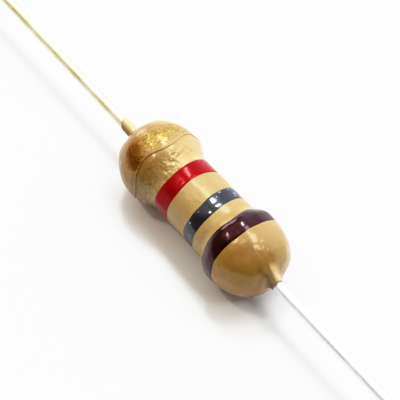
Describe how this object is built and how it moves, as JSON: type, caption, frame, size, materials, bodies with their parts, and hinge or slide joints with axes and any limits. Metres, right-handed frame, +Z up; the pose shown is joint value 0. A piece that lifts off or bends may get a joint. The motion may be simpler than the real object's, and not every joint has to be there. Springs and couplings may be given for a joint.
{
  "type": "axial resistor",
  "caption": "Axial carbon film resistor: dog-bone body of glossy tan lacquer with brown, grey, red and gold rings, and a straight tinned wire at each end.",
  "frame": {"origin": "middle of the body, on the axis of the wires", "axes": "+X along the wires towards the end with the brown ring, +Z up as the resistor lies on a table"},
  "size_m": [0.0648, 0.0036, 0.0036],
  "materials": {
    "ceramic": "matte",
    "carbon": "satin",
    "cap_metal": "satin",
    "tinned_wire": "satin",
    "lacquer": "gloss",
    "brown_paint": "gloss",
    "grey_paint": "gloss",
    "red_paint": "gloss",
    "gold_paint": "gloss"
  },
  "bodies": {
    "root": {"ceramic_rod": "ceramic", "carbon_film": "carbon", "end_cap_left": "cap_metal", "end_cap_right": "cap_metal", "lead_wire_left": "tinned_wire", "lead_wire_right": "tinned_wire", "lacquer_coat": "lacquer", "band_brown": "brown_paint", "band_grey": "grey_paint", "band_red": "red_paint", "band_gold": "gold_paint"}
  },
  "joints": []
}
